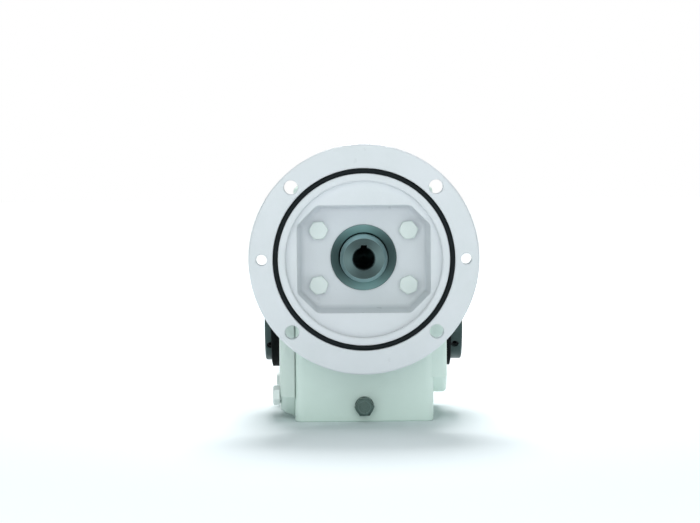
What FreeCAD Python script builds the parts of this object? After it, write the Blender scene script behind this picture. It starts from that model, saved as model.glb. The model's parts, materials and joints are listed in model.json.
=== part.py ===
import FreeCAD, Part
import Sketcher
import math
import os

# Right-angle worm gear reducer with a C-face motor adapter and a hollow
# output shaft.  Millimetres, +Z up.
#   origin      centre of the hollow output bore
#   output axis X, worm axis parallel to Y at z = centre_distance
#   motor face  towards -Y, feet (machined base) towards -Z
# One helical worm thread drives a 30 tooth bronze wheel: 30 : 1.

V = FreeCAD.Vector
Placement = FreeCAD.Placement
Rotation = FreeCAD.Rotation

doc = FreeCAD.newDocument("WormReducer")
sheet = doc.addObject("Spreadsheet::Sheet", "Params")
_row = [0]
nodes = []


# ---------------------------------------------------------------- dimensions
class Q(object):
    """A size: its number, and the sheet expression that gives it."""

    def __init__(self, v, t):
        self.v = float(v)
        self.t = t

    def __add__(self, o):
        o = q(o)
        return Q(self.v + o.v, "(%s + %s)" % (self.t, o.t))

    __radd__ = __add__

    def __sub__(self, o):
        o = q(o)
        return Q(self.v - o.v, "(%s - %s)" % (self.t, o.t))

    def __rsub__(self, o):
        return q(o) - self

    def __mul__(self, o):
        o = q(o)
        return Q(self.v * o.v, "(%s * %s)" % (self.t, o.t))

    __rmul__ = __mul__

    def __truediv__(self, o):
        o = q(o)
        return Q(self.v / o.v, "(%s / %s)" % (self.t, o.t))

    def __neg__(self):
        return Q(-self.v, "(0 - %s)" % self.t)

    def __float__(self):
        return self.v


def q(x):
    if isinstance(x, Q):
        return x
    return Q(x, "%.9g" % x if x >= 0 else "(0 - %.9g)" % -x)


def P(alias, value, note):
    _row[0] += 1
    r = _row[0]
    sheet.set("A%d" % r, note)
    sheet.set("B%d" % r, "%.9g" % value)
    sheet.setAlias("B%d" % r, alias)
    return Q(value, "Params." + alias)


def bind(obj, prop, x):
    x = q(x)
    obj.setExpression(prop, x.t)


# gearing
centre_distance = P("centre_distance", 52.4, "worm axis above output axis")
module = P("gear_module", 2.5, "axial module")
wheel_teeth = P("wheel_teeth", 30, "teeth on the bronze wheel")
worm_pitch_r = P("worm_pitch_r", 14.9, "worm reference radius")
pressure = P("pressure_angle", 20.0, "axial pressure angle, degrees")
flank_gap = P("flank_gap", 0.09, "running clearance on each flank")
tip_gap = P("tip_gap", 0.45, "clearance at tip and root")
wheel_half = P("wheel_half", 12.0, "half face width of the wheel")
wheel_od_r = P("wheel_od_r", 41.25, "outside radius of the wheel")
rim_in_r = P("rim_in_r", 31.0, "inside radius of the bronze rim")

# housing
hx = P("housing_half_x", 52.0, "housing half width")
hy = P("housing_half_y", 58.0, "housing half depth")
base_z = P("base_drop", 71.5, "machined base below output axis")
top_z = P("top_rise", 105.0, "top face above output axis")
corner_r = P("corner_radius", 6.5, "vertical cast corner radius")
top_r = P("top_radius", 4.0, "top edge radius")
cav_x = P("cavity_half_x", 38.0, "cavity half width")
cav_y = P("cavity_half_y", 46.0, "sump half depth")
sump_z = P("sump_drop", 62.5, "sump floor below output axis")
roof_z = P("roof_rise", 95.5, "cavity roof above output axis")
chamber_r = P("chamber_r", 44.0, "wheel chamber radius")
open_r = P("opening_r", 43.0, "side opening radius")
foot_x = P("foot_x", 43.0, "base hole half spacing along X")
foot_y = P("foot_y", 49.5, "base hole half spacing along Y")
foot_r = P("foot_hole_r", 3.97, "base tapped hole radius, 3/8-16")
foot_d = P("foot_hole_depth", 13.5, "base tapped hole depth, clear of the cover screws")
tap_x = P("top_hole_x", 38.0, "top hole half spacing along X")

# right boss and left cover
boss_y = P("boss_half_y", 55.0, "boss half depth")
boss_z = P("boss_half_z", 51.0, "boss half height")
boss_c = P("boss_corner", 12.5, "boss corner cut")
boss_x = P("boss_face", 62.15, "boss outer face")
cov_x = P("cover_face", 63.6, "cover outer face")
cov_z = P("cover_half_z", 70.5, "cover half height")
cov_c = P("cover_corner", 17.5, "cover corner cut")
cov_g = P("cover_gasket_t", 0.5, "cover gasket thickness")
cov_bolt_y = P("cover_bolt_y", 46.0, "cover screw half spacing, Y")
cov_bolt_z = P("cover_bolt_z", 52.4, "cover screw half spacing, Z")
edge_r = P("boss_edge_r", 3.4, "boss outer edge radius")
cov_edge_r = P("cover_edge_r", 5.5, "cover outer edge radius")

# motor adapter
face_y = P("motor_face", 98.0, "motor face in front of output axis")
fl_t = P("flange_thick", 12.0, "motor flange thickness")
fl_r = P("flange_radius", 84.15, "motor flange radius")
bc_r = P("bolt_circle_r", 74.6125, "motor bolt circle radius, 5.875 in circle")
bc_hole = P("bolt_hole_r", 5.15, "motor bolt hole radius")
side_hole = P("side_hole_r", 3.95, "side hole radius")
pilot_r = P("pilot_radius", 57.15, "motor pilot radius, 4.5 in")
pilot_d = P("pilot_depth", 5.0, "pilot recess depth")
oring_r = P("oring_mean_r", 64.55, "face seal ring mean radius")
oring_c = P("oring_cord", 3.53, "face seal ring cord")
groove_w = P("groove_half_w", 1.95, "face groove half width")
groove_d = P("groove_depth", 2.65, "face groove depth")
pk_x = P("pocket_half_x", 46.0, "pocket floor half width")
pk_z = P("pocket_half_z", 37.1, "pocket floor half height")
pk_c = P("pocket_corner", 12.5, "pocket floor corner cut")
pm_x = P("mouth_half_x", 48.7, "pocket mouth half width")
pm_z = P("mouth_half_z", 39.3, "pocket mouth half height")
pm_c = P("mouth_corner", 14.5, "pocket mouth corner cut")
floor_y = P("pocket_floor", 68.0, "pocket floor in front of output axis")
nk_x = P("neck_half_x", 51.0, "adapter neck half width")
nk_z = P("neck_half_z", 46.5, "adapter neck half height")
nk_c = P("neck_corner", 14.0, "adapter neck corner cut")
nf_x = P("neck_front_x", 56.0, "neck half width at the flange")
nf_z = P("neck_front_z", 50.0, "neck half height at the flange")
nf_c = P("neck_front_corner", 20.0, "neck corner cut at the flange")
fl_g = P("flange_gasket_t", 0.8, "adapter gasket thickness")
fs_x = P("flange_screw_x", 33.3, "adapter screw half spacing, X")
fs_z = P("flange_screw_z", 20.3, "adapter screw half spacing, Z")

# screws (5/16-18 and 1/4-20 hex cap)
big_af = P("screw_flats", 12.7, "5/16 in screw across flats")
big_head = P("screw_head", 5.0, "5/16 in screw head height")
big_r = P("screw_radius", 3.97, "5/16 in screw radius")
sml_af = P("cap_screw_flats", 11.11, "1/4 in screw across flats")
sml_head = P("cap_screw_head", 4.4, "1/4 in screw head height")
sml_r = P("cap_screw_radius", 3.17, "1/4 in screw radius")

# worm shaft
quill_r = P("quill_radius", 17.5, "quill outside radius")
quill_y = P("quill_nose", 87.0, "quill nose in front of output axis")
quill_bore = P("quill_bore_r", 7.9375, "quill bore radius, 5/8 in")
key_half = P("quill_key_half", 2.381, "quill keyway half width, 3/16 in")
key_top = P("quill_key_top", 10.07, "quill keyway top above the axis")
bore_end = P("quill_bore_end", 42.0, "quill bore end")
seal_r = P("input_seal_r", 24.5, "input seal outside radius")

# output shaft
out_bore = P("output_bore_r", 15.875, "output bore radius, 1.25 in")
out_r = P("output_seat_r", 22.5, "bearing and seal seat radius")
out_wheel_r = P("wheel_seat_r", 24.0, "wheel seat radius")
out_end = P("output_end", 74.0, "shaft end from the centre")
out_key = P("output_key_half", 3.175, "output keyway half width, 1/4 in")
out_key_top = P("output_key_top", 18.9, "output keyway top")
hub_r = P("hub_r", 31.0, "hub outside radius")
oseal_r = P("output_seal_r", 34.0, "output seal outside radius")
collar_r = P("collar_r", 30.0, "collar outside radius")
collar_in = P("collar_in", 66.5, "collar inner face")
collar_out = P("collar_out", 75.3, "collar outer face")
ring_r = P("ring_r", 35.0, "rubber ring outside radius")
set_l = P("set_screw_left", 70.9, "left set screw position along the shaft")
set_rt = P("set_screw_right", 69.7, "right set screw position along the shaft")
set_hole = P("set_screw_r", 3.0, "set screw radius")

# plugs and cap
plug_z = P("plug_drop", 59.6, "drain plug below output axis")
plug_r = P("plug_thread_r", 4.9, "plug thread radius")
plug_af = P("plug_flats", 13.0, "plug across flats")
plug_head = P("plug_head", 7.4, "plug head height")
wash_r = P("washer_r", 7.2, "plug washer radius")
wash_t = P("washer_t", 1.2, "plug washer thickness")
cap_r = P("rear_cap_r", 41.0, "rear cap radius")
cap_bc = P("rear_cap_bolt_r", 33.6, "rear cap bolt circle radius")
cap_g = P("rear_gasket_t", 0.5, "rear cap gasket thickness")
cap_y = P("rear_cap_face", 66.5, "rear cap outer face")

doc.recompute()
C45 = math.sqrt(0.5)


# ---------------------------------------------------------------- features
def plane(body, role):
    for f in body.Origin.OriginFeatures:
        if f.Role == role:
            return f
    raise RuntimeError("no plane " + role)


def new_body(label, z=None, final=True):
    b = doc.addObject("PartDesign::Body", label)
    b.Label = label
    b.AllowCompound = True
    if z is not None:
        bind(b, "Placement.Base.z", z)
    if final:
        nodes.append(b)
    return b


def poly(*pts):
    return ("poly", [(q(h), q(v)) for h, v in pts])


def circ(h, v, r):
    return ("circle", q(h), q(v), q(r))


def octagon(a, b, c, dh=0, dv=0):
    """Rectangle of half sizes a and b with its corners cut by c."""
    a, b, c, dh, dv = q(a), q(b), q(c), q(dh), q(dv)
    return poly((dh - a, dv - b + c), (dh - a, dv + b - c), (dh - a + c, dv + b),
                (dh + a - c, dv + b), (dh + a, dv + b - c), (dh + a, dv - b + c),
                (dh + a - c, dv - b), (dh - a + c, dv - b))


def rect(h0, v0, h1, v1):
    return poly((h0, v0), (h1, v0), (h1, v1), (h0, v1))


def sketch(body, role, offs, loops):
    sk = body.newObject("Sketcher::SketchObject", body.Name + "_sketch")
    sk.AttachmentSupport = (plane(body, role), [""])
    sk.MapMode = "FlatFace"
    o = [q(x) for x in offs]
    sk.AttachmentOffset = Placement(V(o[0].v, o[1].v, o[2].v), Rotation())
    for name, x in zip("xyz", o):
        if x.v != 0:
            bind(sk, "AttachmentOffset.Base." + name, x)
    later = []
    for loop in loops:
        if loop[0] == "circle":
            _, ch, cv, r = loop
            g = sk.addGeometry(Part.Circle(V(ch.v, cv.v, 0), V(0, 0, 1), r.v), False)
            later.append((Sketcher.Constraint("DistanceX", -1, 1, g, 3, ch.v), ch))
            later.append((Sketcher.Constraint("DistanceY", -1, 1, g, 3, cv.v), cv))
            later.append((Sketcher.Constraint("Radius", g, r.v), r))
        else:
            pts = loop[1]
            n = len(pts)
            geo = []
            for i in range(n):
                p, p2 = pts[i], pts[(i + 1) % n]
                geo.append(sk.addGeometry(Part.LineSegment(
                    V(p[0].v, p[1].v, 0), V(p2[0].v, p2[1].v, 0)), False))
            sk.addConstraint([Sketcher.Constraint("Coincident", geo[i], 2, geo[(i + 1) % n], 1)
                              for i in range(n)])
            for i in range(n):
                later.append((Sketcher.Constraint("DistanceX", -1, 1, geo[i], 1, pts[i][0].v), pts[i][0]))
                later.append((Sketcher.Constraint("DistanceY", -1, 1, geo[i], 1, pts[i][1].v), pts[i][1]))
    for con, x in later:
        k = sk.addConstraint(con)
        bind(sk, "Constraints[%d]" % k, x)
    return sk


AXES = {"X": ("YZ_Plane", 1), "Y": ("XZ_Plane", -1), "Z": ("XY_Plane", 1)}


def done(body, f, cut, before):
    doc.recompute()
    if f.Shape.isNull():
        raise RuntimeError("%s: %s is empty (%s)" % (body.Label, f.Name, f.State))
    body.Tip = f
    if not f.Shape.isValid():
        raise RuntimeError("%s: %s is not a valid shape" % (body.Label, f.Name))
    after = f.Shape.Volume
    if cut and not after < before - 1e-3:
        raise RuntimeError("%s: %s cut nothing" % (body.Label, f.Name))
    if not cut and not after > before + 1e-3:
        raise RuntimeError("%s: %s added nothing" % (body.Label, f.Name))
    return f


def vol(body):
    t = body.Tip
    return 0.0 if t is None or t.Shape.isNull() else t.Shape.Volume


def slab(body, axis, lo, hi, loops, cut=False, at=(0, 0)):
    """Pad or pocket between two planes square to an axis."""
    role, sg = AXES[axis]
    lo, hi = q(lo), q(hi)
    n0 = lo if sg > 0 else -hi
    before = vol(body)
    sk = sketch(body, role, (at[0], at[1], n0), loops)
    f = body.newObject("PartDesign::Pocket" if cut else "PartDesign::Pad", body.Name + "_slab")
    f.Profile = sk
    f.Type = 0
    f.Length = hi.v - lo.v
    bind(f, "Length", hi - lo)
    if cut:
        f.Reversed = True
    return done(body, f, cut, before)


def turn(body, axis, loops, cut=False, at=0):
    """Revolve about X, about Y, or about Z; `at` lifts a Y axis."""
    role = {"X": "XY_Plane", "Y": "YZ_Plane", "Z": "XZ_Plane"}[axis]
    before = vol(body)
    sk = sketch(body, role, (0, at, 0), loops)
    f = body.newObject("PartDesign::Groove" if cut else "PartDesign::Revolution", body.Name + "_turn")
    f.Profile = sk
    f.ReferenceAxis = (sk, ["V_Axis" if axis == "Z" else "H_Axis"])
    f.Angle = 360
    f.Midplane = any(loop[0] == "circle" for loop in loops)
    return done(body, f, cut, before)


def edges(body, size, test, kind="Fillet"):
    base = body.Tip
    names = ["Edge%d" % (i + 1) for i, e in enumerate(base.Shape.Edges) if test(e)]
    if not names:
        raise RuntimeError("%s: no edges to round" % body.Label)
    f = body.newObject("PartDesign::" + kind, body.Name + "_edge")
    f.Base = (base, names)
    prop = "Radius" if kind == "Fillet" else "Size"
    setattr(f, prop, q(size).v)
    bind(f, prop, size)
    doc.recompute()
    if f.Shape.isNull() or not f.isValid() or not f.Shape.isValid():
        raise RuntimeError("%s: %s %s failed" % (body.Label, kind, f.Name))
    body.Tip = f
    return f


def at_plane(e, axis, value, tol=1e-4):
    b = e.BoundBox
    lo, hi = {"X": (b.XMin, b.XMax), "Y": (b.YMin, b.YMax), "Z": (b.ZMin, b.ZMax)}[axis]
    return abs(lo - value) < tol and abs(hi - value) < tol


def bore_edge(axis, value, radius, cy=0.0, cz=0.0):
    """A full circle of the given radius in the plane axis = value."""
    def test(e):
        if not at_plane(e, axis, value):
            return False
        c = e.Curve
        return isinstance(c, Part.Circle) and abs(c.Radius - radius) < 1e-3
    return test


# primitives for turned and hexagonal hardware
def prim(kind, name, **sizes):
    o = doc.addObject(kind, name)
    for k, x in sizes.items():
        if k == "Polygon":
            o.Polygon = x
            continue
        setattr(o, k, q(x).v)
        bind(o, k, x)
    return o


def put(o, base, direction=V(0, 0, 1), spin=0.0):
    """Stand the object's own Z along `direction` at `base` (three sizes)."""
    rot = Rotation(V(0, 0, 1), direction).multiply(Rotation(V(0, 0, 1), spin))
    b = [q(x) for x in base]
    o.Placement = Placement(V(b[0].v, b[1].v, b[2].v), rot)
    for name, x in zip("xyz", b):
        if x.v != 0:
            bind(o, "Placement.Base." + name, x)
    return o


def boolean(kind, name, a, b, label=None):
    o = doc.addObject(kind, name)
    o.Base = a
    o.Tool = b
    if label:
        o.Label = label
        nodes.append(o)
    return o


def compound(label, items, final=True):
    o = doc.addObject("Part::Compound", label)
    o.Links = items
    o.Label = label
    if final:
        nodes.append(o)
    return o


def hex_screw(name, seat, out, af, head, r, length, spin, face=0.97):
    """Hex cap screw: head stands on `seat`, out of the part along `out`."""
    af, head, r, length = q(af), q(head), q(r), q(length)
    n = doc.addObject("Part::Prism", name + "_hex")
    n.Polygon = 6
    bind(n, "Circumradius", af / 2 * 1.154700538)
    bind(n, "Height", head)
    put(n, seat, out, spin)
    k = prim("Part::Cone", name + "_cone", Radius1=af / 2 * face + head * 1.732, Radius2=af / 2 * face,
             Height=head)
    put(k, seat, out, spin)
    hd = boolean("Part::Common", name + "_head", n, k)
    s = prim("Part::Cylinder", name + "_shank", Radius=r, Height=length + 1)
    b = [q(x) for x in seat]
    d = (out.x, out.y, out.z)
    start = [b[i] - (length * d[i]) if abs(d[i]) > 1e-9 else b[i] for i in range(3)]
    put(s, start, out, spin)
    return boolean("Part::Fuse", name, hd, s)


def bearing(prefix, axis, mid, ri, ro, width, balls, ball_d, pitch, z=None):
    """Deep groove ball bearing in four pieces: races, balls and cage."""
    mid, ri, ro, w, bd, pr = [q(x) for x in (mid, ri, ro, width, ball_d, pitch)]
    h = w / 2
    c = 1.0
    lo_ = pr + bd * 0.28
    li_ = pr - bd * 0.28
    ob = new_body(prefix + "_outer_race", z)
    turn(ob, axis, [poly((mid - h, lo_), (mid + h, lo_), (mid + h, ro - c), (mid + h - c, ro),
                         (mid - h + c, ro), (mid - h, ro - c))])
    turn(ob, axis, [circ(mid, pr + bd * 0.5 + 0.03 - bd * 0.52, bd * 0.52)], cut=True)
    ib = new_body(prefix + "_inner_race", z)
    turn(ib, axis, [poly((mid - h, li_), (mid + h, li_), (mid + h, ri + c), (mid + h - c, ri),
                         (mid - h + c, ri), (mid - h, ri + c))])
    turn(ib, axis, [circ(mid, pr - bd * 0.5 - 0.03 + bd * 0.52, bd * 0.52)], cut=True)
    cg = new_body(prefix + "_cage", z)
    cw = bd / 2 + 1.6
    turn(cg, axis, [rect(mid - cw, pr - 1.3, mid + cw, pr + 1.3)])
    before = vol(cg)
    pocket_r = bd / 2 + 0.12
    if axis == "X":
        sk = sketch(cg, "XY_Plane", (mid, 0, 0), [circ(0, 0, pocket_r)])
    else:
        sk = sketch(cg, "XY_Plane", (0, mid, 0), [circ(0, 0, pocket_r)])
    f = cg.newObject("PartDesign::Pocket", cg.Name + "_pocket")
    f.Profile = sk
    f.Type = 0
    bind(f, "Length", pr + 4)
    f.Reversed = True
    done(cg, f, True, before)
    pat = cg.newObject("PartDesign::PolarPattern", cg.Name + "_pattern")
    pat.Originals = [f]
    pat.Axis = (plane(cg, "X_Axis" if axis == "X" else "Y_Axis"), [""])
    pat.Angle = 360
    pat.Occurrences = balls
    before = vol(cg)
    done(cg, pat, True, before)
    items = []
    for i in range(balls):
        a = 2 * math.pi * i / balls
        s = prim("Part::Sphere", prefix + "_ball", Radius=bd / 2)
        u, v = pr * math.sin(a), pr * math.cos(a)
        if axis == "X":
            put(s, (mid, u, v))
        else:
            put(s, (u, mid, v + (z if z is not None else 0)))
        items.append(s)
    compound(prefix + "_balls", items)
    return ob, ib


def seal(prefix, axis, face, sign, ri, ro, depth, z=None):
    """Radial shaft seal: pressed steel case and bonded rubber lip."""
    ri, ro, face, d = q(ri), q(ro), q(face), q(depth)
    s = sign

    def X(k):
        return face + s * k
    case = new_body(prefix + "_case", z)
    turn(case, axis, [poly((X(0.3), ro), (X(float(d)), ro), (X(float(d)), ro - 1.1),
                           (X(1.7), ro - 1.1), (X(1.7), ri + 0.8), (X(0.9), ri + 0.8), (X(0.55), ri + 1.2),
                           (X(0.0), ro - 1.3), (X(0.0), ro - 0.3))])
    lip = new_body(prefix + "_lip", z)
    turn(lip, axis, [poly((X(1.7), ri + 0.9), (X(1.7), ri + 3.2), (X(6.4), ri + 3.2),
                          (X(6.9), ri + 2.3), (X(6.9), ri + 1.2), (X(5.4), ri + 0.05), (X(5.0), ri + 0.05),
                          (X(3.6), ri + 1.0), (X(2.8), ri + 0.5), (X(2.3), ri + 0.2), (X(1.9), ri + 0.4))])


a_ = centre_distance
# ---------------------------------------------------------------- housing
b = new_body("housing")
slab(b, "Z", -base_z, top_z, [rect(-hx, -hy, hx, hy)])
edges(b, corner_r, lambda e: e.BoundBox.ZLength > 50)
edges(b, top_r, lambda e: at_plane(e, "Z", top_z.v))
edges(b, q(0.7), lambda e: at_plane(e, "Z", -base_z.v), kind="Chamfer")
slab(b, "X", hx - 4, boss_x, [octagon(boss_y, boss_z, boss_c)])
edges(b, edge_r, lambda e: at_plane(e, "X", boss_x.v))
# cavity: sump, wheel chamber and worm gallery
slab(b, "X", -cav_x, cav_x, [rect(-cav_y, -sump_z, cav_y, 10)], cut=True)
slab(b, "X", -cav_x, cav_x, [circ(0, 0, chamber_r)], cut=True)
slab(b, "X", -cav_x, cav_x, [rect(-36, 8, 33, roof_z)], cut=True)
# side opening, right bearing and seal bores
slab(b, "X", -hx - 1, -cav_x + 1, [circ(0, 0, open_r)], cut=True)
turn(b, "X", [poly((cav_x - 1, 0), (boss_x + 1, 0), (boss_x + 1, oseal_r), (52, oseal_r), (52, 37.5),
                   (cav_x - 1, 37.5))], cut=True)
# worm bores
turn(b, "Y", [poly((-hy - 1, 0), (hy + 1, 0), (hy + 1, 26), (36, 26), (36, 22), (30, 22),
                   (30, 24), (-42, 24), (-42, 31), (-hy - 1, 31))], cut=True, at=a_)
# tapped holes: base, top, cover, adapter, rear cap
feet = [circ(sx * foot_x, sy * foot_y, foot_r) for sx in (-1, 1) for sy in (-1, 1)]
slab(b, "Z", -base_z, foot_d - base_z, feet, cut=True)
tops = [circ(sx * tap_x, sy * foot_y, foot_r) for sx in (-1, 1) for sy in (-1, 1)]
slab(b, "Z", top_z - foot_d, top_z, tops, cut=True)
slab(b, "X", -hx, -hx + 12.0, [circ(sy * cov_bolt_y, sz * cov_bolt_z, big_r)
                               for sy in (-1, 1) for sz in (-1, 1)], cut=True)
slab(b, "Y", -hy, -hy + 16, [circ(sx * fs_x, a_ + sz * fs_z, big_r)
                             for sx in (-1, 1) for sz in (-1, 1)], cut=True)
slab(b, "Y", hy - 14, hy, [circ(sx * cap_bc * C45, a_ + sz * cap_bc * C45, sml_r)
                           for sx in (-1, 1) for sz in (-1, 1)], cut=True)
# plug holes
slab(b, "Y", -hy, -cav_y + 6, [circ(0, -plug_z, plug_r)], cut=True)
slab(b, "Y", cav_y - 6, hy, [circ(0, -plug_z, plug_r)], cut=True)
slab(b, "Y", cav_y - 1, hy, [circ(0, 0, plug_r)], cut=True)
slab(b, "Z", roof_z - 1, top_z, [circ(0, 0, plug_r)], cut=True)

# ---------------------------------------------------------------- left cover
b = new_body("output_cover")
slab(b, "X", -cov_x, -hx - cov_g, [octagon(boss_y, cov_z, cov_c)])
edges(b, cov_edge_r, lambda e: at_plane(e, "X", -cov_x.v))
# top and bottom edges slope outwards so that water runs off
for sg in (-1, 1):
    slab(b, "Y", -boss_y - 1, boss_y + 1, [poly((-cov_x - 1, sg * 71.5), (-hx - cov_g, sg * 71.5), (-hx - cov_g, sg * 69.2),
                                                (-cov_x + 0.6, sg * 64.0), (-cov_x, sg * 62.9), (-cov_x - 1, sg * 62.9))], cut=True)
slab(b, "X", -hx - cov_g, -36.5, [circ(0, 0, open_r - 0.05)])
turn(b, "X", [poly((-cov_x - 1, 0), (-36, 0), (-36, 37.5), (-52, 37.5), (-52, oseal_r),
                   (-cov_x - 1, oseal_r))], cut=True)
slab(b, "X", -cov_x, -hx - cov_g, [circ(sy * cov_bolt_y, sz * cov_bolt_z, big_r + 0.4)
                                    for sy in (-1, 1) for sz in (-1, 1)], cut=True)
b = new_body("cover_gasket")
slab(b, "X", -hx - cov_g, -hx, [octagon(boss_y - 0.05, cov_z - 1.35, cov_c - 1.35), circ(0, 0, open_r)] +
     [circ(sy * cov_bolt_y, sz * cov_bolt_z, big_r + 0.4) for sy in (-1, 1) for sz in (-1, 1)])
items = []
spins = {(-1, -1): 10.0, (-1, 1): 24.0, (1, -1): 17.0, (1, 1): 3.0}
for (sy, sz), sp in sorted(spins.items()):
    items.append(hex_screw("cover_screw", (-cov_x, sy * cov_bolt_y, sz * cov_bolt_z), V(-1, 0, 0),
                           big_af, big_head, big_r, 22.0, sp))
compound("cover_screws", items)

# ---------------------------------------------------------------- motor adapter
b = new_body("flange_casting", a_, final=False)
slab(b, "Y", -face_y, -face_y + fl_t, [circ(0, 0, fl_r)])
edges(b, q(1.4), lambda e: at_plane(e, "Y", -face_y.v) or at_plane(e, "Y", -face_y.v + fl_t.v))
before = vol(b)
s1 = sketch(b, "XZ_Plane", (0, 0, hy + fl_g), [octagon(nk_x, nk_z, nk_c)])
s2 = sketch(b, "XZ_Plane", (0, 0, face_y - fl_t), [octagon(nf_x, nf_z, nf_c)])
f = b.newObject("PartDesign::AdditiveLoft", "neck_loft")
f.Profile = s1
f.Sections = [s2]
f.Ruled = True
done(b, f, False, before)
slab(b, "Y", -face_y, -face_y + pilot_d, [circ(0, 0, pilot_r)], cut=True)
edges(b, q(0.8), bore_edge("Y", -face_y.v, pilot_r.v), kind="Chamfer")
turn(b, "Y", [rect(-face_y - 1, oring_r - groove_w, -face_y + groove_d, oring_r + groove_w)], cut=True)
turn(b, "Y", [poly((-hy - fl_g - 1, 0), (-56.2, 0), (-56.2, 31), (-hy - fl_g - 1, 31))])
turn(b, "Y", [poly((-floor_y - 2, 0), (-56, 0), (-56, 23), (-60, 23), (-60, seal_r),
                   (-floor_y - 2, seal_r))], cut=True)
slab(b, "Y", -floor_y - 2, -hy - fl_g, [circ(sx * fs_x, sz * fs_z, big_r + 0.4)
                                        for sx in (-1, 1) for sz in (-1, 1)], cut=True)
holes = [circ(sx * bc_r * C45, sz * bc_r * C45, bc_hole) for sx in (-1, 1) for sz in (-1, 1)]
holes += [circ(sx * bc_r, 0, side_hole) for sx in (-1, 1)]
slab(b, "Y", -face_y, -face_y + fl_t, holes, cut=True)


# drafted rectangular pocket behind the pilot, as a core with soft corners
def core_points(y, ax, az, c):
    pts = [(-ax, -az + c), (-ax, az - c), (-ax + c, az), (ax - c, az), (ax, az - c), (ax, -az + c),
           (ax - c, -az), (-ax + c, -az)]
    return [V(x, y, z) for x, z in pts]


def core_solid():
    y1, y0 = -floor_y.v, -face_y.v + pilot_d.v
    k = 1.0 / (y1 - y0)
    deep = core_points(y1, pk_x.v, pk_z.v, pk_c.v)
    high = core_points(y0 - 1.0, pm_x.v + k * (pm_x.v - pk_x.v), pm_z.v + k * (pm_z.v - pk_z.v),
                       pm_c.v + k * (pm_c.v - pk_c.v))
    n = len(deep)
    faces = [Part.Face(Part.makePolygon(deep + [deep[0]])), Part.Face(Part.makePolygon(high + [high[0]]))]
    for i in range(n):
        j = (i + 1) % n
        faces.append(Part.Face(Part.makePolygon([deep[i], deep[j], high[j], high[i], deep[i]])))
    solid = Part.Solid(Part.Shell(faces))
    if solid.Volume < 0:
        solid.reverse()
    walls = [e for e in solid.Edges if e.BoundBox.YLength > 1]
    solid = solid.makeFillet(5.0, walls)
    rim_edges = [e for e in solid.Edges if at_plane(e, "Y", y1)]
    return solid.makeFillet(3.5, rim_edges)


pocket = doc.addObject("Part::Feature", "pocket_core")
pocket.Shape = core_solid()
pocket.Placement = Placement(V(0, 0, a_.v), Rotation())
boolean("Part::Cut", "motor_flange", b, pocket, "motor_flange")

b = new_body("flange_gasket", a_)
slab(b, "Y", -hy - fl_g, -hy, [octagon(nk_x - 0.05, nk_z - 0.05, nk_c), circ(0, 0, 31.2)] +
     [circ(sx * fs_x, sz * fs_z, big_r + 0.4) for sx in (-1, 1) for sz in (-1, 1)])
b = new_body("flange_o_ring", a_)
turn(b, "Y", [circ(-face_y + groove_d - oring_c / 2, oring_r, oring_c / 2)])
items = []
spins = {(-1, -1): 12.0, (-1, 1): 3.0, (1, -1): 22.0, (1, 1): 8.0}
for (sx, sz), sp in sorted(spins.items()):
    items.append(hex_screw("flange_screw", (sx * fs_x, -floor_y, a_ + sz * fs_z), V(0, -1, 0),
                           big_af, big_head, big_r, 24.0, sp))
compound("flange_screws", items)

seal("input_seal", "Y", -floor_y, 1, quill_r, seal_r, 7.5, a_)

# ---------------------------------------------------------------- rear cap
b = new_body("rear_cap", a_)
slab(b, "Y", hy + cap_g, cap_y, [circ(0, 0, cap_r)])
edges(b, q(2.0), lambda e: at_plane(e, "Y", cap_y.v))
turn(b, "Y", [rect(53.2, 0, hy + cap_g + 1, 25.95)])
turn(b, "Y", [rect(53, 0, 60.5, 21.5)], cut=True)
slab(b, "Y", hy + cap_g, cap_y, [circ(sx * cap_bc * C45, sz * cap_bc * C45, sml_r + 0.35)
                                 for sx in (-1, 1) for sz in (-1, 1)], cut=True)
b = new_body("rear_cap_gasket", a_)
slab(b, "Y", hy, hy + cap_g, [circ(0, 0, cap_r - 0.4), circ(0, 0, 26.2)] +
     [circ(sx * cap_bc * C45, sz * cap_bc * C45, sml_r + 0.35) for sx in (-1, 1) for sz in (-1, 1)])
items = []
for k, (sx, sz) in enumerate([(-1, -1), (-1, 1), (1, -1), (1, 1)]):
    items.append(hex_screw("cap_screw", (sx * cap_bc * C45, cap_y, a_ + sz * cap_bc * C45), V(0, 1, 0),
                           sml_af, sml_head, sml_r, 19.0, 7.0 + 13 * k))
compound("rear_cap_screws", items)

# ---------------------------------------------------------------- plugs
pl = [("drain_plug_front", (0, -hy - wash_t, -plug_z), V(0, -1, 0), 2.0),
      ("drain_plug_rear", (0, hy + wash_t, -plug_z), V(0, 1, 0), 21.0),
      ("level_plug", (0, hy + wash_t, 0), V(0, 1, 0), 14.0)]
for name, seat, out, sp in pl:
    o = hex_screw(name + "_blank", seat, out, plug_af, plug_head, plug_r, 10.5, sp, 0.82)
    dish = prim("Part::Cylinder", name + "_dish", Radius=q(4.5), Height=q(3))
    put(dish, (seat[0], seat[1] + out.y * (plug_head - 0.7), seat[2]), out)
    boolean("Part::Cut", name, o, dish, name)
b = new_body("plug_washers")
slab(b, "Y", -hy - wash_t, -hy, [circ(0, -plug_z, wash_r), circ(0, -plug_z, plug_r)])
slab(b, "Y", hy, hy + wash_t, [circ(0, -plug_z, wash_r), circ(0, -plug_z, plug_r),
                               circ(0, 0, wash_r), circ(0, 0, plug_r)])
n = doc.addObject("Part::Prism", "vent_hex")
n.Polygon = 6
bind(n, "Circumradius", q(15.9) / 2 * 1.1547)
bind(n, "Height", q(6.0))
put(n, (0, 0, top_z), V(0, 0, 1), 8.0)
b = new_body("vent_stem", None, final=False)
turn(b, "Z", [poly((0, top_z - 9), (plug_r, top_z - 9), (plug_r, top_z), (5.6, top_z), (5.6, top_z + 8.0),
                   (0, top_z + 8.0))])
o = boolean("Part::Fuse", "breather_body", n, b, "breather_body")
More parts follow.
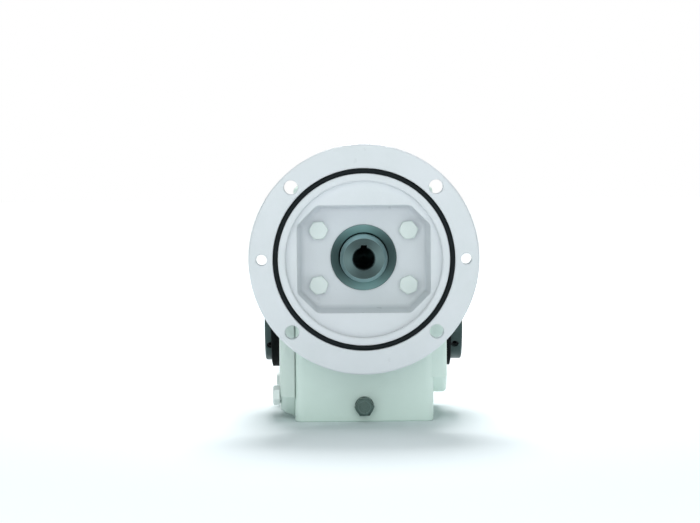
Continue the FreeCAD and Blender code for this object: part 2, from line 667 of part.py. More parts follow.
b = new_body("breather_cap")
turn(b, "Z", [poly((5.6, top_z + 6.4), (8.6, top_z + 6.4), (9.4, top_z + 7.2), (9.4, top_z + 11.5), (7.8, top_z + 13.4),
                   (0, top_z + 14.2), (0, top_z + 8.0), (5.6, top_z + 8.0))])

# ---------------------------------------------------------------- bearings
bearing("front_bearing", "Y", -49.0, 17.5, 31.0, 14.0, 11, 7.938, 24.25, a_)
bearing("rear_bearing", "Y", 45.5, 12.5, 26.0, 15.0, 9, 7.938, 19.25, a_)
bearing("left_bearing", "X", -44.0, 22.5, 37.5, 16.0, 12, 8.73, 30.0)
bearing("right_bearing", "X", 44.0, 22.5, 37.5, 16.0, 12, 8.73, 30.0)
seal("left_seal", "X", -61.6, 1, out_r, oseal_r, 7.5)
seal("right_seal", "X", 61.6, -1, out_r, oseal_r, 7.5)

# ---------------------------------------------------------------- worm shaft
m = module.v
pitch = math.pi * m
tana = math.tan(math.radians(pressure.v))
r1 = worm_pitch_r.v
tip_r = r1 + m
root_r = r1 - 1.25 * m
r2 = m * wheel_teeth.v / 2.0
worm_root = worm_pitch_r - 1.25 * module

core = new_body("worm_core", a_, final=False)
turn(core, "Y", [poly((-quill_y, quill_bore + 0.8), (-quill_y, quill_r - 2.5), (-quill_y + 2.5, quill_r),
                      (-42, quill_r), (-42, 20.5), (-38.5, 20.5), (-35, worm_root), (31, worm_root),
                      (34, 15.5), (38, 15.5), (38, 12.5), (53.1, 12.5), (53.1, 11.8), (54.4, 11.8),
                      (54.4, 12.5), (55.2, 12.5), (56, 11.7), (56, 0), (-bore_end + 4.5, 0),
                      (-bore_end, quill_bore), (-quill_y + 0.8, quill_bore))])
slab(core, "Y", -quill_y, -46, [rect(-key_half, 0, key_half, key_top)], cut=True)

# worm thread: straight-sided axial section carried along a right-hand helix
def thread_half(rho):
    return pitch / 4.0 - (rho - r1) * tana


z0 = -pitch / 4.0 - 3 * pitch
height = 6.5 * pitch
helix = Part.makeHelix(pitch, height, r1)
helix.translate(V(0, 0, z0))
ra, rb = root_r - 1.4, tip_r
pts = [V(ra, 0, z0 - thread_half(ra)), V(rb, 0, z0 - thread_half(rb)),
       V(rb, 0, z0 + thread_half(rb)), V(ra, 0, z0 + thread_half(ra))]
prof = Part.makePolygon(pts + [pts[0]])
pipe = Part.BRepOffsetAPI.MakePipeShell(Part.Wire(helix.Edges))
pipe.setFrenetMode(True)
pipe.add(prof)
pipe.build()
pipe.makeSolid()
thread = doc.addObject("Part::Feature", "worm_thread")
ts = pipe.shape()
ts.rotate(V(0, 0, 0), V(1, 0, 0), -90)
thread.Shape = ts
thread.Placement = Placement(V(0, 0, a_.v), Rotation()).multiply(thread.Placement)
boolean("Part::Fuse", "worm_shaft", core, thread, "worm_shaft")

b = new_body("worm_retaining_ring", a_)
turn(b, "Y", [rect(53.15, 11.8, 54.35, 14.6)])
slab(b, "Y", 53, 55, [rect(-2.5, -20, 2.5, 0)], cut=True)

# ---------------------------------------------------------------- worm wheel
jn = flank_gap.v
ct = tip_gap.v
aw = a_.v


def gap_section(c, n=9, top=43.4):
    """Space between two wheel teeth in the plane x = c, as the worm thread
    sweeps it while it rolls with the wheel: (radius, low angle, high angle)."""
    rt = tip_r + ct
    bottom = aw - math.sqrt(rt * rt - c * c)
    rho0 = max(abs(c) + 1e-3, root_r - 1.2)
    ns = 60
    rhos = [rho0 + (rt - rho0) * i / (ns - 1.0) for i in range(ns)]
    flank = []
    for rho in rhos:
        w = -math.sqrt(max(rho * rho - c * c, 0.0))
        phi = math.atan2(-c, -w)
        flank.append((pitch * phi / (2 * math.pi), aw + w, thread_half(rho) + jn))
    radii = [bottom + 0.004 + (top - bottom - 0.004) * (i / (n - 1.0)) ** 1.3 for i in range(n)]
    lo_ = [9.0] * n
    hi_ = [-9.0] * n
    k = -110
    while k <= 110:
        psi = 0.005 * k
        k += 1
        cp, sp = math.cos(psi), math.sin(psi)
        for sg in (-1, 1):
            last = None
            for yc, z, h in flank:
                y = yc + sg * h - r2 * psi
                Y = y * cp + z * sp
                Z = -y * sp + z * cp
                cur = (math.hypot(Y, Z), math.atan2(Y, Z))
                if last is not None:
                    a0, a1 = last[0], cur[0]
                    mn, mx = (a0, a1) if a0 < a1 else (a1, a0)
                    for i in range(n):
                        r = radii[i]
                        if mn <= r <= mx and mx > mn:
                            t = (r - a0) / (a1 - a0)
                            be = last[1] + (cur[1] - last[1]) * t
                            if sg > 0 and be > hi_[i]:
                                hi_[i] = be
                            if sg < 0 and be < lo_[i]:
                                lo_[i] = be
                last = cur
    return radii, lo_, hi_


def gap_wire(c):
    radii, lo_, hi_ = gap_section(c)
    right = [V(c, r * math.sin(t), r * math.cos(t)) for r, t in zip(radii, hi_)]
    left = [V(c, r * math.sin(t), r * math.cos(t)) for r, t in zip(radii, lo_)]
    left.reverse()
    e1 = Part.BSplineCurve()
    e1.interpolate(right)
    e2 = Part.BSplineCurve()
    e2.interpolate(left)
    return Part.Wire([e1.toShape(), Part.LineSegment(right[-1], left[0]).toShape(),
                      e2.toShape(), Part.LineSegment(left[-1], right[0]).toShape()])


hw = wheel_half.v
rg = aw - wheel_od_r.v
throat = root_r + ct
xs = math.sqrt(throat ** 2 - rg ** 2)
ro = wheel_od_r.v
ri = rim_in_r.v
ch = 1.2
p = [V(-hw, ri, 0), V(-hw, ro - ch, 0), V(-hw + ch, ro, 0), V(-xs, ro, 0), V(0, aw - throat, 0),
     V(xs, ro, 0), V(hw - ch, ro, 0), V(hw, ro - ch, 0), V(hw, ri, 0)]
ed = [Part.makeLine(p[0], p[1]), Part.makeLine(p[1], p[2]), Part.makeLine(p[2], p[3]),
      Part.Arc(p[3], p[4], p[5]).toShape(), Part.makeLine(p[5], p[6]), Part.makeLine(p[6], p[7]),
      Part.makeLine(p[7], p[8]), Part.makeLine(p[8], p[0])]
blank = Part.Face(Part.Wire(ed)).revolve(V(0, 0, 0), V(1, 0, 0), 360)
cs = [-12.6 + 25.2 * i / 8.0 for i in range(9)]
gap = Part.makeLoft([gap_wire(c) for c in cs], True, False)
gaps = []
nt = int(round(wheel_teeth.v))
for i in range(nt):
    g = gap.copy()
    g.rotate(V(0, 0, 0), V(1, 0, 0), 360.0 * i / nt)
    gaps.append(g)
rim_shape = blank.cut(gaps)
if rim_shape.ShapeType == "Compound" and len(rim_shape.Solids) == 1:
    rim_shape = rim_shape.Solids[0]
rim = doc.addObject("Part::Feature", "worm_wheel_rim")
rim.Label = "worm_wheel_rim"
rim.Shape = rim_shape
rim.Placement = Placement(V(0, 0, 0), Rotation())
nodes.append(rim)

b = new_body("worm_wheel_hub")
turn(b, "X", [poly((-16, out_wheel_r), (16, out_wheel_r), (16, 28.6), (wheel_half - 0.8, 29.4), (wheel_half - 0.8, hub_r),
                   (-wheel_half + 0.8, hub_r), (-wheel_half + 0.8, 29.4), (-16, 28.6))])
slab(b, "X", -16, 16, [rect(-4, -27.2, 4, -20)], cut=True)

# ---------------------------------------------------------------- output shaft
b = new_body("output_shaft")
turn(b, "X", [poly((-out_end, out_bore + 0.8), (-out_end, out_r - 0.8), (-out_end + 0.8, out_r), (-36, out_r),
                   (-36, out_wheel_r), (16, out_wheel_r), (16, 27), (36, 27), (36, out_r), (out_end - 0.8, out_r),
                   (out_end, out_r - 0.8), (out_end, out_bore + 0.8), (out_end - 0.8, out_bore),
                   (-out_end + 0.8, out_bore))])
slab(b, "X", -out_end, out_end, [rect(-out_key, 0, out_key, out_key_top)], cut=True)
slab(b, "X", -14, 14, [rect(-4, -26, 4, -20)], cut=True)
b = new_body("wheel_key")
slab(b, "X", -14, 14, [rect(-4, -27, 4, -20)])
edges(b, q(0.3), lambda e: e.BoundBox.XLength > 20, kind="Chamfer")
b = new_body("wheel_spacer")
turn(b, "X", [rect(-36, out_wheel_r, -16, 28)])

# collars: a ring locked by two socket set screws
for side, sg in (("left", -1), ("right", 1)):
    ring = new_body(side + "_collar_ring", None, final=False)
    x0, x1 = sg * collar_in, sg * collar_out
    set_x = set_l if sg < 0 else set_rt
    turn(ring, "X", [poly((x0, out_r), (x1 - sg * 0.8, out_r), (x1, out_r + 0.8), (x1, collar_r),
                          (x0, collar_r))])
    edges(ring, q(1.5), lambda e: at_plane(e, "X", sg * collar_out.v) and e.BoundBox.YLength > 59)
    dirs = [V(0, -math.cos(math.radians(33.5)), -math.sin(math.radians(33.5))),
            V(0, math.sin(math.radians(33.5)), -math.cos(math.radians(33.5)))]
    drills, screws = [], []
    for d in dirs:
        c1 = prim("Part::Cylinder", side + "_drill", Radius=set_hole, Height=q(14))
        put(c1, (sg * set_x, q(20.0 * d.y), q(20.0 * d.z)), d)
        drills.append(c1)
        c2 = prim("Part::Cylinder", side + "_grub", Radius=set_hole, Height=q(5.6))
        put(c2, (sg * set_x, out_r * d.y * 1.004, out_r * d.z * 1.004), d)
        hx_ = doc.addObject("Part::Prism", side + "_socket")
        hx_.Polygon = 6
        bind(hx_, "Circumradius", q(3.2) / 2 * 1.1547)
        bind(hx_, "Height", q(6))
        put(hx_, (sg * set_x, q(25.4 * d.y), q(25.4 * d.z)), d, 11.0)
        screws.append(boolean("Part::Cut", side + "_grub_screw", c2, hx_))
    tool = compound(side + "_drills", drills, final=False)
    boolean("Part::Cut", side + "_collar", ring, tool, side + "_collar")
    compound(side + "_set_screws", screws)

# rubber excluder rings, turning with the shaft
b = new_body("left_rubber_ring")
turn(b, "X", [poly((-70.5, collar_r + 0.1), (-66.5, collar_r + 0.1), (-66.5, out_r), (-63.9, out_r),
                   (-63.9, 32.2), (-65.0, ring_r), (-69.8, ring_r), (-70.5, 32.4))])
b = new_body("right_rubber_ring")
turn(b, "X", [poly((62.45, out_r), (66.5, out_r), (66.5, ring_r - 0.5), (66.0, ring_r), (63.0, ring_r),
                   (62.45, ring_r - 0.5))])

# ---------------------------------------------------------------- check and write
doc.recompute()
bad = []
for o in doc.Objects:
    st = [x for x in o.State if x in ("Invalid", "Error")]
    if st:
        bad.append("%s %s" % (o.Name, st))
for o in nodes:
    s = o.Shape
    if s.isNull() or not s.isValid() or s.Volume <= 0:
        bad.append("%s shape is not valid" % o.Label)
labels = [o.Label for o in nodes]
if len(set(labels)) != len(labels):
    bad.append("labels repeat")
if bad:
    raise RuntimeError("model failed: " + "; ".join(bad))

os.makedirs("parts", exist_ok=True)
for o in nodes:
    o.Shape.exportStep(os.path.join("parts", o.Label + ".step"))
    bb = o.Shape.BoundBox
    print("%-28s solids %2d  vol %10.1f  [%7.2f %7.2f %7.2f] [%7.2f %7.2f %7.2f]" % (
        o.Label, len(o.Shape.Solids), o.Shape.Volume, bb.XMin, bb.YMin, bb.ZMin, bb.XMax, bb.YMax, bb.ZMax))
print("%d nodes" % len(nodes))
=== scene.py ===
import json
import math
import bpy
import bmesh
from mathutils import Vector, Matrix, Quaternion

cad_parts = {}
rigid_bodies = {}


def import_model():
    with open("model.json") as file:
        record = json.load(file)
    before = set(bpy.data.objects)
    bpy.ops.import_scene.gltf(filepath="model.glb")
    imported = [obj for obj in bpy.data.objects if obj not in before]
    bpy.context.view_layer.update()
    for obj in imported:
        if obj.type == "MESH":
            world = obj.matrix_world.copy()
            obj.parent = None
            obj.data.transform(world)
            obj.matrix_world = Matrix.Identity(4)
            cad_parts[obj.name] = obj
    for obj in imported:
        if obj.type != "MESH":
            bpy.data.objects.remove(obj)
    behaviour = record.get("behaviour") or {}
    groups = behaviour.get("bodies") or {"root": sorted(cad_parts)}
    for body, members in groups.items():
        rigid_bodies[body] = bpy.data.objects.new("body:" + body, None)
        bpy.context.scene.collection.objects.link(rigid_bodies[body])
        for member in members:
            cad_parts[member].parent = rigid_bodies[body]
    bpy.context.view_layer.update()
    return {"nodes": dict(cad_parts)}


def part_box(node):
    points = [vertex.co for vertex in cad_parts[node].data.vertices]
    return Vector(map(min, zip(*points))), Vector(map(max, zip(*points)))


for o in list(bpy.data.objects):
    bpy.data.objects.remove(o, do_unlink=True)

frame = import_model()
nodes = frame["nodes"]
scene = bpy.context.scene

AW = 0.0524          # worm axis height
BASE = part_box("housing")[0].z
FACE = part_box("motor_flange")[0].y


# ------------------------------------------------------------------ nodes
class M:
    """A node material: one principled shader and small helpers."""

    def __init__(self, name):
        self.m = bpy.data.materials.new(name)
        self.m.use_nodes = True
        self.t = self.m.node_tree
        self.p = self.t.nodes["Principled BSDF"]
        self._obj = None

    def node(self, kind, **props):
        n = self.t.nodes.new(kind)
        for k, v in props.items():
            setattr(n, k, v)
        return n

    def link(self, a, b):
        self.t.links.new(a, b)

    def feed(self, sock, x):
        if isinstance(x, bpy.types.NodeSocket):
            self.link(x, sock)
        elif x is not None:
            sock.default_value = x

    @property
    def pos(self):
        if self._obj is None:
            self._obj = self.node("ShaderNodeTexCoord").outputs["Object"]
        return self._obj

    def noise(self, scale, detail=3.0, rough=0.5, vec=None, distortion=0.0):
        n = self.node("ShaderNodeTexNoise")
        self.link(vec if vec is not None else self.pos, n.inputs["Vector"])
        n.inputs["Scale"].default_value = scale
        n.inputs["Detail"].default_value = detail
        n.inputs["Roughness"].default_value = rough
        n.inputs["Distortion"].default_value = distortion
        return n.outputs["Fac"]

    def voronoi(self, scale, feature="F1", vec=None):
        n = self.node("ShaderNodeTexVoronoi", feature=feature)
        self.link(vec if vec is not None else self.pos, n.inputs["Vector"])
        n.inputs["Scale"].default_value = scale
        return n.outputs["Distance"]

    def math(self, op, a, b=None, c=None, clamp=False):
        n = self.node("ShaderNodeMath", operation=op)
        n.use_clamp = clamp
        self.feed(n.inputs[0], a)
        if b is not None:
            self.feed(n.inputs[1], b)
        if c is not None:
            self.feed(n.inputs[2], c)
        return n.outputs[0]

    def span(self, x, a0, a1, b0=0.0, b1=1.0, smooth=False):
        n = self.node("ShaderNodeMapRange")
        n.clamp = True
        if smooth:
            n.interpolation_type = "SMOOTHSTEP"
        self.feed(n.inputs["Value"], x)
        n.inputs["From Min"].default_value = a0
        n.inputs["From Max"].default_value = a1
        n.inputs["To Min"].default_value = b0
        n.inputs["To Max"].default_value = b1
        return n.outputs["Result"]

    def mix(self, fac, a, b, blend="MIX"):
        n = self.node("ShaderNodeMix", data_type="RGBA", blend_type=blend)
        self.feed(n.inputs[0], fac)
        self.feed(n.inputs[6], a if isinstance(a, bpy.types.NodeSocket) else (*a, 1.0))
        self.feed(n.inputs[7], b if isinstance(b, bpy.types.NodeSocket) else (*b, 1.0))
        return n.outputs[2]

    def xyz(self, vec=None):
        n = self.node("ShaderNodeSeparateXYZ")
        self.link(vec if vec is not None else self.pos, n.inputs[0])
        return n.outputs

    def vec(self, x, y, z):
        n = self.node("ShaderNodeCombineXYZ")
        self.feed(n.inputs[0], x)
        self.feed(n.inputs[1], y)
        self.feed(n.inputs[2], z)
        return n.outputs[0]

    def bump(self, height, distance, normal=None, strength=1.0):
        n = self.node("ShaderNodeBump")
        n.inputs["Strength"].default_value = strength
        n.inputs["Distance"].default_value = distance
        self.link(height, n.inputs["Height"])
        if normal is not None:
            self.link(normal, n.inputs["Normal"])
        return n.outputs[0]

    def soft(self, radius, samples=4):
        n = self.node("ShaderNodeBevel")
        n.samples = samples
        n.inputs["Radius"].default_value = radius
        return n.outputs[0]

    def edge(self, radius, lo=0.02, hi=0.25, samples=4):
        """0 on flat stretches, 1 on a convex or concave corner."""
        b = self.soft(radius, samples)
        g = self.node("ShaderNodeNewGeometry").outputs["Normal"]
        d = self.node("ShaderNodeVectorMath", operation="DOT_PRODUCT")
        self.link(b, d.inputs[0])
        self.link(g, d.inputs[1])
        return self.span(self.math("SUBTRACT", 1.0, d.outputs["Value"]), lo, hi)

    def crevice(self, distance, samples=6):
        n = self.node("ShaderNodeAmbientOcclusion")
        n.samples = samples
        n.only_local = False
        n.inputs["Distance"].default_value = distance
        return self.math("SUBTRACT", 1.0, n.outputs["AO"])

    def radial(self, axis, centre=(0.0, 0.0, 0.0)):
        """(distance from a turned axis, angle round it, place along it)."""
        x, y, z = self.xyz()
        if axis == "X":
            a, b, c = y, z, x
            ca, cb = centre[1], centre[2]
        elif axis == "Y":
            a, b, c = x, z, y
            ca, cb = centre[0], centre[2]
        else:
            a, b, c = x, y, z
            ca, cb = centre[0], centre[1]
        a = self.math("SUBTRACT", a, ca)
        b = self.math("SUBTRACT", b, cb)
        r = self.math("SQRT", self.math("ADD", self.math("MULTIPLY", a, a), self.math("MULTIPLY", b, b)))
        return r, self.math("ARCTAN2", a, b), c

    def set(self, **kw):
        for k, v in kw.items():
            self.feed(self.p.inputs[k.replace("_", " ")], v)
        return self


def rgb(r, g, b):
    """sRGB 0-255 to linear."""
    out = []
    for c in (r, g, b):
        c = c / 255.0
        out.append(c / 12.92 if c <= 0.04045 else ((c + 0.055) / 1.055) ** 2.4)
    return tuple(out)


def painted(name, cast=1.0, soft=0.0005, tint=(0.83, 0.86, 0.855), corner_shade_and_dust_amount=0.45):
    """White two-part enamel over cast iron: orange peel over the casting's own
    skin, thin and slightly warm on the edges, with painted shade in the corners, which are also rougher."""
    k = M(name)
    big = k.noise(14.0, 3.0, 0.55)
    mid = k.noise(95.0, 4.0, 0.6)
    t2 = (tint[0] * 0.955, tint[1] * 0.965, tint[2] * 0.955)
    t3 = (min(1, tint[0] * 1.03), min(1, tint[1] * 1.02), min(1, tint[2] * 1.03))
    col = k.mix(k.span(big, 0.35, 0.68, smooth=True), tint, t2)
    col = k.mix(k.math("MULTIPLY", k.span(mid, 0.5, 0.75), 0.35), col, t3)
    # painted shade: the corners are darkened in patches, and the same mask makes them rougher
    occ = k.crevice(0.010)
    corner_shade_and_dust = k.math("MULTIPLY", k.span(occ, 0.40, 0.95, smooth=True), k.span(mid, 0.25, 0.8, corner_shade_and_dust_amount * 0.5, corner_shade_and_dust_amount))
    col = k.mix(corner_shade_and_dust, col, (0.50, 0.60, 0.56))
    wear = k.math("MULTIPLY", k.edge(0.0009), k.span(k.noise(160.0, 4.0, 0.65), 0.53, 0.66))
    col = k.mix(k.math("MULTIPLY", wear, 0.35), col, (0.62, 0.62, 0.60))
    specks = k.span(k.voronoi(230.0), 0.0, 0.055, 1.0, 0.0)
    specks = k.math("MULTIPLY", specks, k.span(k.noise(40.0, 1.0), 0.56, 0.62))
    col = k.mix(k.math("MULTIPLY", specks, 0.30), col, (0.50, 0.53, 0.52))
    k.link(col, k.p.inputs["Base Color"])
    rough = k.math("ADD", k.span(mid, 0.3, 0.75, 0.27, 0.42), k.math("MULTIPLY", corner_shade_and_dust, 0.25))
    k.link(rough, k.p.inputs["Roughness"])
    k.set(Specular_IOR_Level=0.5, Coat_Weight=0.25, Coat_Roughness=0.12)
    base = k.soft(soft)
    peel = k.noise(700.0, 2.0, 0.45)
    n1 = k.bump(peel, 0.00005, base)
    skin = k.math("ADD", k.noise(240.0, 5.0, 0.62, distortion=0.4), k.math("MULTIPLY", k.noise(70.0, 3.0), 0.9))
    n2 = k.bump(skin, 0.00022 * cast, n1)
    k.link(n2, k.p.inputs["Normal"])
    return k.m


def turned(name, color, axis, centre, rough=(0.22, 0.38), pitch=0.00022, depth=0.000012, dark=0.75,
           fan_highlight_gain=2.6, metallic=1.0, edge_highlight=0.5, soft=0.00025, stain=None, fan_highlight_amount=0.0, crevice_shade=0.35, lip=None):
    """Lathe-turned or ground metal: fine feed marks round its axis, a painted
    highlight on every edge, painted shade in the corners."""
    k = M(name)
    r, ang, along = k.radial(axis, centre)
    wob = k.noise(60.0, 2.0)
    s = k.math("ADD", k.math("ADD", r, along), k.math("MULTIPLY", wob, pitch * 2.0))
    wave = k.math("SINE", k.math("MULTIPLY", s, 2 * math.pi / pitch))
    lines = k.noise(1.0, 3.0, 0.6, vec=k.vec(k.math("MULTIPLY", s, 5200.0), k.math("MULTIPLY", ang, 1.2), 0.0))
    h = k.math("ADD", k.math("MULTIPLY", wave, 0.4), lines)
    big = k.noise(55.0, 3.0, 0.6)
    c2 = tuple(c * dark for c in color)
    col = k.mix(k.span(lines, 0.3, 0.72), c2, color)
    col = k.mix(k.math("MULTIPLY", k.span(big, 0.35, 0.7, smooth=True), 0.35), col, stain or c2)
    if fan_highlight_amount:
        # painted highlight: the base colour is lightened in two opposite fans round the axis, where the feed marks of
        # a faced surface catch the light
        fan_highlight_mask = k.math("COSINE", k.math("MULTIPLY", k.math("ADD", ang, k.math("MULTIPLY", lines, 0.25)), 2.0))
        fan_highlight_mask = k.span(fan_highlight_mask, -1.0, 1.0) if fan_highlight_amount > 0 else k.span(fan_highlight_mask, 1.0, -1.0)
        col = k.mix(k.math("MULTIPLY", k.math("POWER", fan_highlight_mask, 1.6), abs(fan_highlight_amount)), col, tuple(min(1.0, c * fan_highlight_gain) for c in color))
    if lip:
        # painted highlight on the nose chamfer between two radii, brighter on one side round the axis
        on = k.math("MULTIPLY", k.span(r, lip[0] - 0.0001, lip[0] + 0.0001), k.span(r, lip[1] - 0.0001, lip[1] + 0.0001, 1.0, 0.0))
        chamfer_highlight_side = k.span(k.math("SINE", k.math("ADD", k.math("MULTIPLY", ang, 2.0), 1.9)), -1.0, 1.0, 0.25, 0.9)
        col = k.mix(k.math("MULTIPLY", on, chamfer_highlight_side), col, tuple(min(1.0, c * 7.0) for c in color))
    # painted highlight: every edge and corner lightened
    e = k.math("MULTIPLY", k.edge(0.0006, samples=4), edge_highlight)
    hi = tuple(min(1.0, c * 1.9 + 0.06) for c in color)
    col = k.mix(e, col, hi)
    # painted shade: darker in the corners and recesses
    occ = k.span(k.crevice(0.004), 0.45, 0.98)
    col = k.mix(k.math("MULTIPLY", occ, crevice_shade), col, tuple(c * 0.30 for c in color))
    k.link(col, k.p.inputs["Base Color"])
    rg = k.math("ADD", k.span(lines, 0.25, 0.8, rough[0], rough[1]), k.span(big, 0.3, 0.8, 0.0, 0.10))
    k.link(rg, k.p.inputs["Roughness"])
    k.set(Metallic=metallic, Anisotropic=0.35)
    k.link(k.bump(h, depth, k.soft(soft)), k.p.inputs["Normal"])
    return k.m


def rubber(name, color=(0.0035, 0.0045, 0.005), soft=0.0004, rough=(0.55, 0.75), spec=0.07):
    k = M(name)
    a = k.noise(420.0, 4.0, 0.6)
    b = k.noise(38.0, 3.0)
    c2 = tuple(c * 2.0 + 0.001 for c in color)
    dust = k.math("MULTIPLY", k.span(b, 0.45, 0.75, smooth=True), k.span(a, 0.35, 0.75, 0.2, 0.8))
    col = k.mix(dust, color, c2)
    # painted highlight: every edge and corner lightened
    e = k.math("MULTIPLY", k.edge(0.0008), 0.35)
    col = k.mix(e, col, tuple(c * 3 + 0.004 for c in color))
    k.link(col, k.p.inputs["Base Color"])
    k.link(k.span(a, 0.3, 0.75, rough[0], rough[1]), k.p.inputs["Roughness"])
    k.set(Specular_IOR_Level=spec)
    k.link(k.bump(a, 0.00003, k.soft(soft)), k.p.inputs["Normal"])
    return k.m


def rough_metal(name, color, metallic=1.0, rough=(0.35, 0.55), scale=180.0, depth=0.00006, second=None):
    k = M(name)
    a = k.noise(scale, 5.0, 0.62)
    b = k.noise(scale / 7.0, 3.0, 0.5)
    col = k.mix(k.span(a, 0.32, 0.72), tuple(c * 0.72 for c in color), color)
    col = k.mix(k.math("MULTIPLY", k.span(b, 0.4, 0.72, smooth=True), 0.5), col, second or tuple(c * 1.25 for c in color))
    # painted shade: darker in the corners and recesses
    occ = k.span(k.crevice(0.006), 0.35, 0.95)
    col = k.mix(k.math("MULTIPLY", occ, 0.5), col, tuple(c * 0.35 for c in color))
    k.link(col, k.p.inputs["Base Color"])
    k.link(k.span(a, 0.3, 0.75, rough[0], rough[1]), k.p.inputs["Roughness"])
    k.set(Metallic=metallic)
    k.link(k.bump(a, depth, k.soft(0.0004)), k.p.inputs["Normal"])
    return k.m


def fibre(name):
    k = M(name)
    a = k.noise(900.0, 4.0, 0.7)
    b = k.noise(70.0, 3.0)
    col = k.mix(k.span(a, 0.3, 0.7), (0.22, 0.25, 0.235), (0.40, 0.43, 0.41))
    col = k.mix(k.math("MULTIPLY", k.span(b, 0.4, 0.7), 0.4), col, (0.52, 0.56, 0.54))
    k.link(col, k.p.inputs["Base Color"])
    k.set(Roughness=0.85)
    k.link(k.bump(a, 0.00005), k.p.inputs["Normal"])
    return k.m


WORM = (0.0, 0.0, AW)
OUT = (0.0, 0.0, 0.0)
# One white enamel in three copies: the flange copy is tinted lighter and bluer as painted light, the casting copy
# greener and the cover copy darker as painted shade.
paint_cast_shaded_copy = painted("paint_on_casting_shaded", 1.0, tint=(0.80, 0.925, 0.86))
paint_flange_lit_copy = painted("paint_on_flange_lit", 0.55, soft=0.0014, tint=(0.785, 0.80, 0.84), corner_shade_and_dust_amount=0.10)
paint_cover_shaded_copy = painted("paint_on_cover_shaded", 1.0, soft=0.0008, tint=(0.70, 0.80, 0.745))
paint_screw = painted("paint_on_screws", 0.35, soft=0.0004, tint=(0.82, 0.88, 0.86))
quill_steel = turned("quill_steel", (0.062, 0.092, 0.093), "Y", WORM, rough=(0.24, 0.40), pitch=0.0003, metallic=0.9,
                     fan_highlight_amount=-0.75, edge_highlight=0.9, crevice_shade=0.25, fan_highlight_gain=2.4, lip=(0.0149, 0.0176))
seal_steel = turned("seal_case_steel", (0.058, 0.098, 0.098), "Y", WORM, rough=(0.30, 0.46), pitch=0.00035, dark=0.85,
                    metallic=0.7, fan_highlight_amount=0.9, crevice_shade=0.1, fan_highlight_gain=3.2)
seal_steel_x = turned("seal_case_steel_side", (0.14, 0.20, 0.20), "X", OUT, rough=(0.26, 0.40), pitch=0.00035)
shaft_steel = turned("shaft_steel", (0.36, 0.37, 0.375), "X", OUT, rough=(0.18, 0.30), pitch=0.00025)
collar_steel = turned("collar_steel", (0.070, 0.105, 0.102), "X", OUT, rough=(0.30, 0.46), pitch=0.0004, dark=0.7,
                      edge_highlight=0.5, depth=0.000018, metallic=0.8)
race_steel = turned("bearing_race_steel", (0.62, 0.62, 0.61), "X", OUT, rough=(0.10, 0.2), pitch=0.00015, depth=0.000004)
race_steel_y = turned("bearing_race_steel_worm", (0.62, 0.62, 0.61), "Y", WORM, rough=(0.10, 0.2), pitch=0.00015,
                      depth=0.000004)
ball_steel = rough_metal("ball_steel", (0.72, 0.72, 0.71), rough=(0.06, 0.12), scale=90.0, depth=0.000002)
cage_steel = rough_metal("cage_steel", (0.46, 0.43, 0.38), rough=(0.28, 0.42), scale=260.0, depth=0.00002)
bronze = rough_metal("wheel_bronze", (0.62, 0.40, 0.17), rough=(0.22, 0.38), scale=210.0, depth=0.00002,
                     second=(0.70, 0.50, 0.25))
iron = rough_metal("machined_iron", (0.25, 0.25, 0.25), metallic=0.85, rough=(0.4, 0.6), scale=240.0)
zinc = rough_metal("zinc_plate", (0.66, 0.66, 0.62), rough=(0.22, 0.36), scale=150.0, depth=0.00002,
                   second=(0.70, 0.67, 0.56))
black_oxide = rough_metal("black_oxide", (0.05, 0.053, 0.056), metallic=0.9, rough=(0.32, 0.5), scale=320.0,
                          depth=0.00002)
plug_steel_front = turned("plug_stainless", (0.17, 0.235, 0.215), "Y", (0, 0, -0.0596), rough=(0.22, 0.38), pitch=0.0005,
                          dark=0.55, depth=0.00003, crevice_shade=0.7)
plug_steel_level = turned("level_plug_stainless", (0.30, 0.36, 0.34), "Y", (0, 0, 0), rough=(0.22, 0.38), pitch=0.0005,
                          dark=0.6, depth=0.00003, crevice_shade=0.6)
rubber_ring = rubber("ring_rubber")
rubber_seal = rubber("seal_rubber", (0.006, 0.008, 0.009))
rubber_o = rubber("o_ring_rubber", (0.0035, 0.0068, 0.0085), rough=(0.36, 0.52), spec=0.16)


def give(mat, *names):
    for n in names:
        o = nodes[n]
        if not o.material_slots:
            o.data.materials.append(mat)
        for s in o.material_slots:
            s.link = "OBJECT"
            s.material = mat


give(paint_cast_shaded_copy, "housing", "rear_cap")
give(paint_cover_shaded_copy, "output_cover")
give(paint_flange_lit_copy, "motor_flange")
give(paint_screw, "cover_screws", "flange_screws", "rear_cap_screws", "level_plug")
give(quill_steel, "worm_shaft")
give(seal_steel, "input_seal_case")
give(seal_steel_x, "left_seal_case", "right_seal_case")
give(shaft_steel, "output_shaft")
give(collar_steel, "left_collar", "right_collar")
give(race_steel, "left_bearing_outer_race", "left_bearing_inner_race", "right_bearing_outer_race",
     "right_bearing_inner_race")
give(race_steel_y, "front_bearing_outer_race", "front_bearing_inner_race", "rear_bearing_outer_race",
     "rear_bearing_inner_race")
give(ball_steel, *[s + "_bearing_balls" for s in ("front", "rear", "left", "right")])
give(cage_steel, *[s + "_bearing_cage" for s in ("front", "rear", "left", "right")])
give(bronze, "worm_wheel_rim")
give(iron, "worm_wheel_hub", "wheel_spacer")
give(zinc, "breather_body", "breather_cap")
give(black_oxide, "left_set_screws", "right_set_screws", "worm_retaining_ring", "wheel_key")
give(plug_steel_front, "drain_plug_front", "drain_plug_rear", "plug_washers")
give(rubber_ring, "left_rubber_ring", "right_rubber_ring")
give(rubber_seal, "input_seal_lip", "left_seal_lip", "right_seal_lip")
give(rubber_o, "flange_o_ring")
give(paint_cover_shaded_copy, "cover_gasket", "flange_gasket", "rear_cap_gasket")

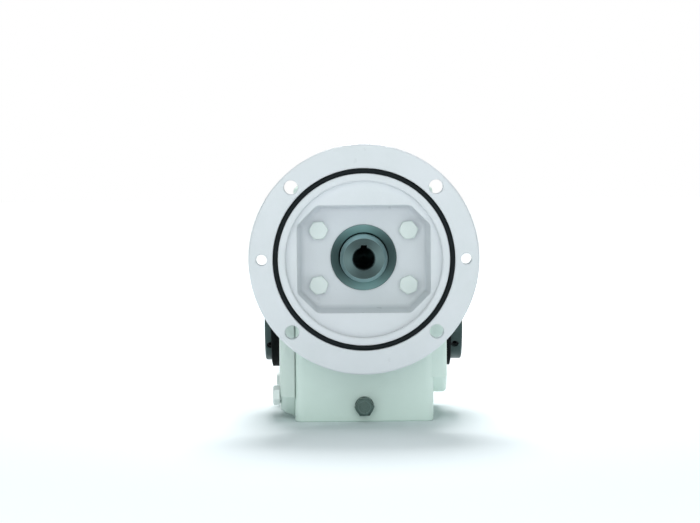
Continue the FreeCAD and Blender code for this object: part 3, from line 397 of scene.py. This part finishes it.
# ------------------------------------------------------------------ floor and light
bm = bmesh.new()
bmesh.ops.create_grid(bm, x_segments=2, y_segments=2, size=6.0)
mesh = bpy.data.meshes.new("studio_floor")
bm.to_mesh(mesh)
bm.free()
floor = bpy.data.objects.new("studio_floor", mesh)
floor.location = (0, 0, BASE - 0.00002)
scene.collection.objects.link(floor)
k = M("studio_white")
k.set(Base_Color=(0.86, 0.92, 0.94, 1.0), Roughness=0.7, Specular_IOR_Level=0.1)
r = k.radial("Z")[0]
k.set(Emission_Color=(0.99, 0.99, 0.99, 1.0))
k.link(k.span(r, 0.30, 1.5, 0.0, 0.92, smooth=True), k.p.inputs["Emission Strength"])
floor.data.materials.append(k.m)

world = bpy.data.worlds.new("studio")
scene.world = world
world.use_nodes = True
wt = world.node_tree
bg = wt.nodes["Background"]
bg.inputs["Color"].default_value = (0.84, 1.0, 0.965, 1.0)
bg.inputs["Strength"].default_value = 0.24
seen = wt.nodes.new("ShaderNodeBackground")
seen.inputs["Color"].default_value = (1.0, 1.0, 1.0, 1.0)
seen.inputs["Strength"].default_value = 1.0
path = wt.nodes.new("ShaderNodeLightPath")
mixer = wt.nodes.new("ShaderNodeMixShader")
wt.links.new(path.outputs["Is Camera Ray"], mixer.inputs[0])
wt.links.new(bg.outputs[0], mixer.inputs[1])
wt.links.new(seen.outputs[0], mixer.inputs[2])
wt.links.new(mixer.outputs[0], wt.nodes["World Output"].inputs["Surface"])


def area(name, loc, target, size, power, color=(1, 1, 1), size_y=None):
    d = bpy.data.lights.new(name, "AREA")
    d.energy = power
    d.color = color
    d.shape = "RECTANGLE"
    d.size = size
    d.size_y = size_y or size
    o = bpy.data.objects.new(name, d)
    o.location = loc
    o.rotation_mode = "QUATERNION"
    o.rotation_quaternion = (Vector(target) - Vector(loc)).to_track_quat("-Z", "Y")
    scene.collection.objects.link(o)
    return o


area("rear_softbox", (0.0, 0.74, 1.30), (0, 0.0, 0.0), 0.6, 18.0, (1.0, 0.985, 1.0))
area("overhead_softbox", (0.05, 0.16, 1.45), (0, 0.0, 0.0), 1.0, 9.0, (1.0, 0.96, 1.0))
area("front_wall", (-0.1, -1.8, 0.80), (0, 0, 0.03), 2.9, 16.0, (0.92, 0.975, 0.970), 1.4)

# ------------------------------------------------------------------ camera
target = Vector((0.0, FACE, AW))
az, el, dist, roll = math.radians(-0.6), math.radians(3.2), 1.5, math.radians(0.4)
back = Vector((math.sin(az) * math.cos(el), -math.cos(az) * math.cos(el), math.sin(el)))
cam_data = bpy.data.cameras.new("camera")
cam = bpy.data.objects.new("camera", cam_data)
scene.collection.objects.link(cam)
cam_data.sensor_width = 36.0
cam_data.lens = 106.15
cam_data.shift_x = -0.0200
cam_data.shift_y = -0.0027
cam_data.clip_start = 0.05
cam_data.clip_end = 30.0
cam.location = target + back * dist
cam.rotation_mode = "QUATERNION"
cam.rotation_quaternion = (-back).to_track_quat("-Z", "Y") @ Quaternion((0, 0, 1), -roll)
scene.camera = cam

scene.view_settings.view_transform = "Standard"
scene.view_settings.look = "None"
scene.view_settings.exposure = 0.0
scene.view_settings.gamma = 1.0
